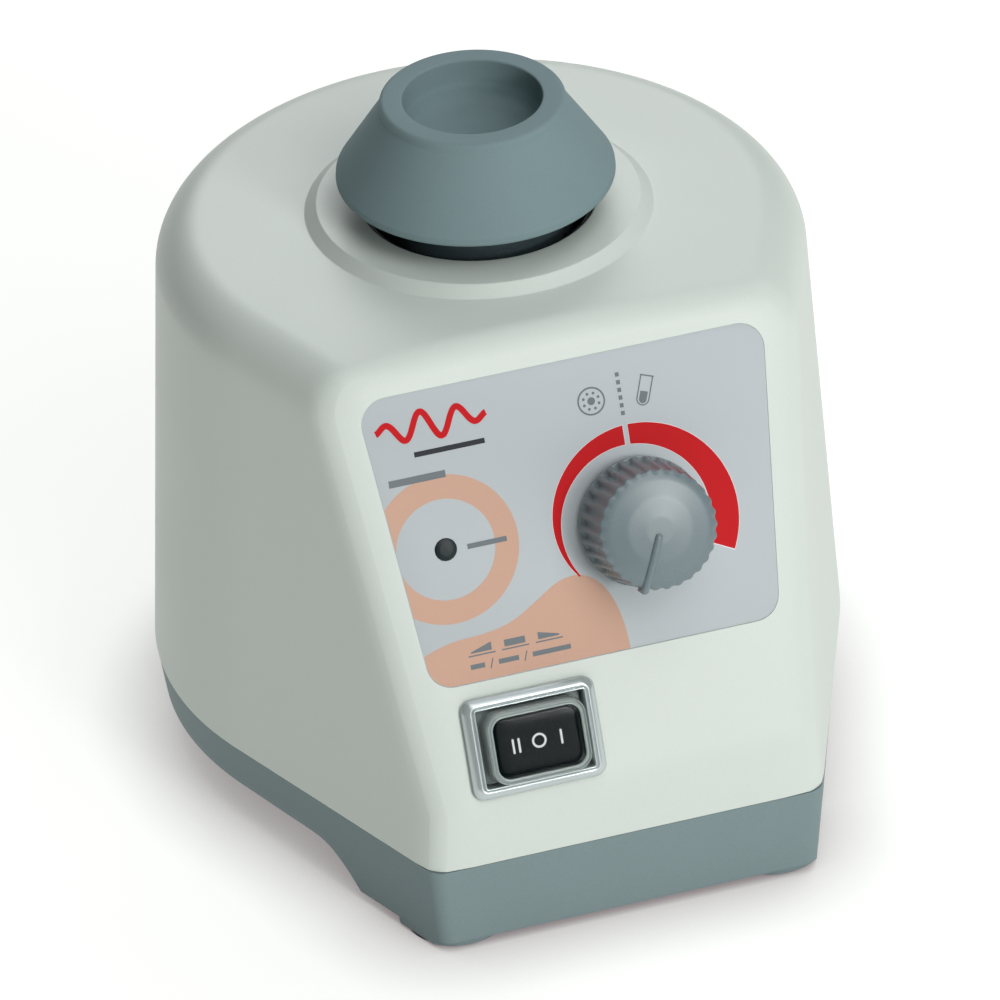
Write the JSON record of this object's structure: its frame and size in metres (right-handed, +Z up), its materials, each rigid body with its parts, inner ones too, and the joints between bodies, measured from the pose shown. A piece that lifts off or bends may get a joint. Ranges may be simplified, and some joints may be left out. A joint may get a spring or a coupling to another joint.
{
  "type": "vortex mixer",
  "caption": "Small vortex mixer: white tapered housing on a grey tray with rubber feet, conical rubber cup head, sloping panel with speed knob and a three-position rocker under a clear cover.",
  "frame": {"origin": "middle of the bounding box on the floor, under the feet", "axes": "+Z up, -Y towards the front panel, +X to the user's right"},
  "size_m": [0.1278, 0.1428, 0.1319],
  "materials": {
    "white_abs": "satin, fine moulded texture",
    "grey_abs": "satin, fine moulded texture",
    "grey_rubber": "matt moulded rubber",
    "black_rubber": "matt",
    "knob_grey": "satin",
    "label_film": "satin printed film",
    "clear_cover": "clear flexible cover",
    "bezel_bright": "bright smooth",
    "black_gloss": "gloss",
    "black_plastic": "satin",
    "lamp": "smoked lens",
    "steel": "zinc plated",
    "laminations": "stamped sheet stack",
    "winding": "enamelled wire",
    "aluminium": "die cast",
    "brass": "plated contacts",
    "board": "circuit board",
    "paper_film": "blank plate",
    "nylon": "natural nylon",
    "fuse_glass": "glass tube fuse"
  },
  "bodies": {
    "housing": {"top_housing": "white_abs", "base_tray": "grey_abs", "rating_plate": "paper_film", "control_label": "label_film", "switch_bezel": "bezel_bright", "switch_cover": "clear_cover", "switch_body": "black_plastic", "switch_tab": "brass", "pot_body": "steel", "pot_nut": "steel", "lamp_lens": "lamp", "control_board": "board", "board_capacitor": "black_plastic", "board_triac": "black_plastic", "board_heat_sink": "aluminium", "inlet_body": "black_plastic", "inlet_pin_line": "brass", "inlet_pin_neutral": "brass", "inlet_pin_earth": "brass", "ballast_plate": "steel", "lower_bracket": "aluminium", "upper_bracket": "aluminium", "lower_bearing": "steel", "upper_bearing": "steel", "stator": "laminations", "winding_lower": "winding", "winding_upper": "winding", "splash_collar": "black_rubber", "press_spring": "steel", "touch_switch": "black_plastic", "foot_front_left": "black_rubber", "foot_screw_front_left": "steel", "foot_front_right": "black_rubber", "foot_screw_front_right": "steel", "foot_rear_left": "black_rubber", "foot_screw_rear_left": "steel", "foot_rear_right": "black_rubber", "foot_screw_rear_right": "steel", "damper_1": "black_rubber", "pillar_1": "steel", "damper_2": "black_rubber", "pillar_2": "steel", "damper_3": "black_rubber", "pillar_3": "steel", "damper_4": "black_rubber", "pillar_4": "steel"},
    "speed_knob": {"knob": "knob_grey", "pot_shaft": "aluminium"},
    "power_rocker": {"rocker": "black_gloss"},
    "press_carriage": {"plunger": "nylon"},
    "motor_rotor": {"rotor": "laminations", "motor_shaft": "steel", "crank_hub": "steel"},
    "mixing_head": {"head_bearing": "steel", "head_platform": "black_gloss"},
    "rubber_cup": {"cup": "grey_rubber"},
    "fuse_holder": {"fuse_drawer": "black_plastic", "fuse": "fuse_glass"},
    "switch_lever": {"touch_lever": "steel"}
  },
  "joints": [
    {"name": "knob_turn", "type": "hinge", "parent": "housing", "child": "speed_knob", "pos_m": [0.0099, -0.05063, 0.07261], "axis": [0, 0.9184, -0.3955], "range_deg": [0, 300]},
    {"name": "rocker_tilt", "type": "hinge", "parent": "housing", "child": "power_rocker", "pos_m": [-0.01615, -0.06349, 0.0402], "axis": [0, 0.3955, 0.9184], "range_deg": [-8, 8]},
    {"name": "press_down", "type": "slide", "parent": "housing", "child": "press_carriage", "axis": [0, 0, 1], "range_m": [-0.0015, 0], "stiffness_N_per_m": 3000, "springref_m": 0.002, "deforming": ["press_spring"]},
    {"name": "motor_spin", "type": "hinge", "parent": "press_carriage", "child": "motor_rotor", "pos_m": [0, 0.00748, 0.052], "axis": [0, 0, 1], "continuous": true},
    {"name": "head_orbit", "type": "hinge", "parent": "motor_rotor", "child": "mixing_head", "pos_m": [-0.0008, 0.00578, 0.1028], "axis": [0, 0, 1], "continuous": true},
    {"name": "cup_pull", "type": "slide", "parent": "mixing_head", "child": "rubber_cup", "axis": [0, 0, 1], "range_m": [0, 0.03]},
    {"name": "fuse_slide", "type": "slide", "parent": "housing", "child": "fuse_holder", "axis": [0, 1, 0], "range_m": [0, 0.018]},
    {"name": "lever_swing", "type": "hinge", "parent": "housing", "child": "switch_lever", "pos_m": [0.009, 0.00748, 0.0175], "axis": [0, -1, 0], "range_deg": [0, 9.6]}
  ],
  "couplings": [
    {"joint": "head_orbit", "follows": "motor_spin", "ratio": -1},
    {"joint": "lever_swing", "follows": "press_down", "rad_per_m": -111.11}
  ]
}
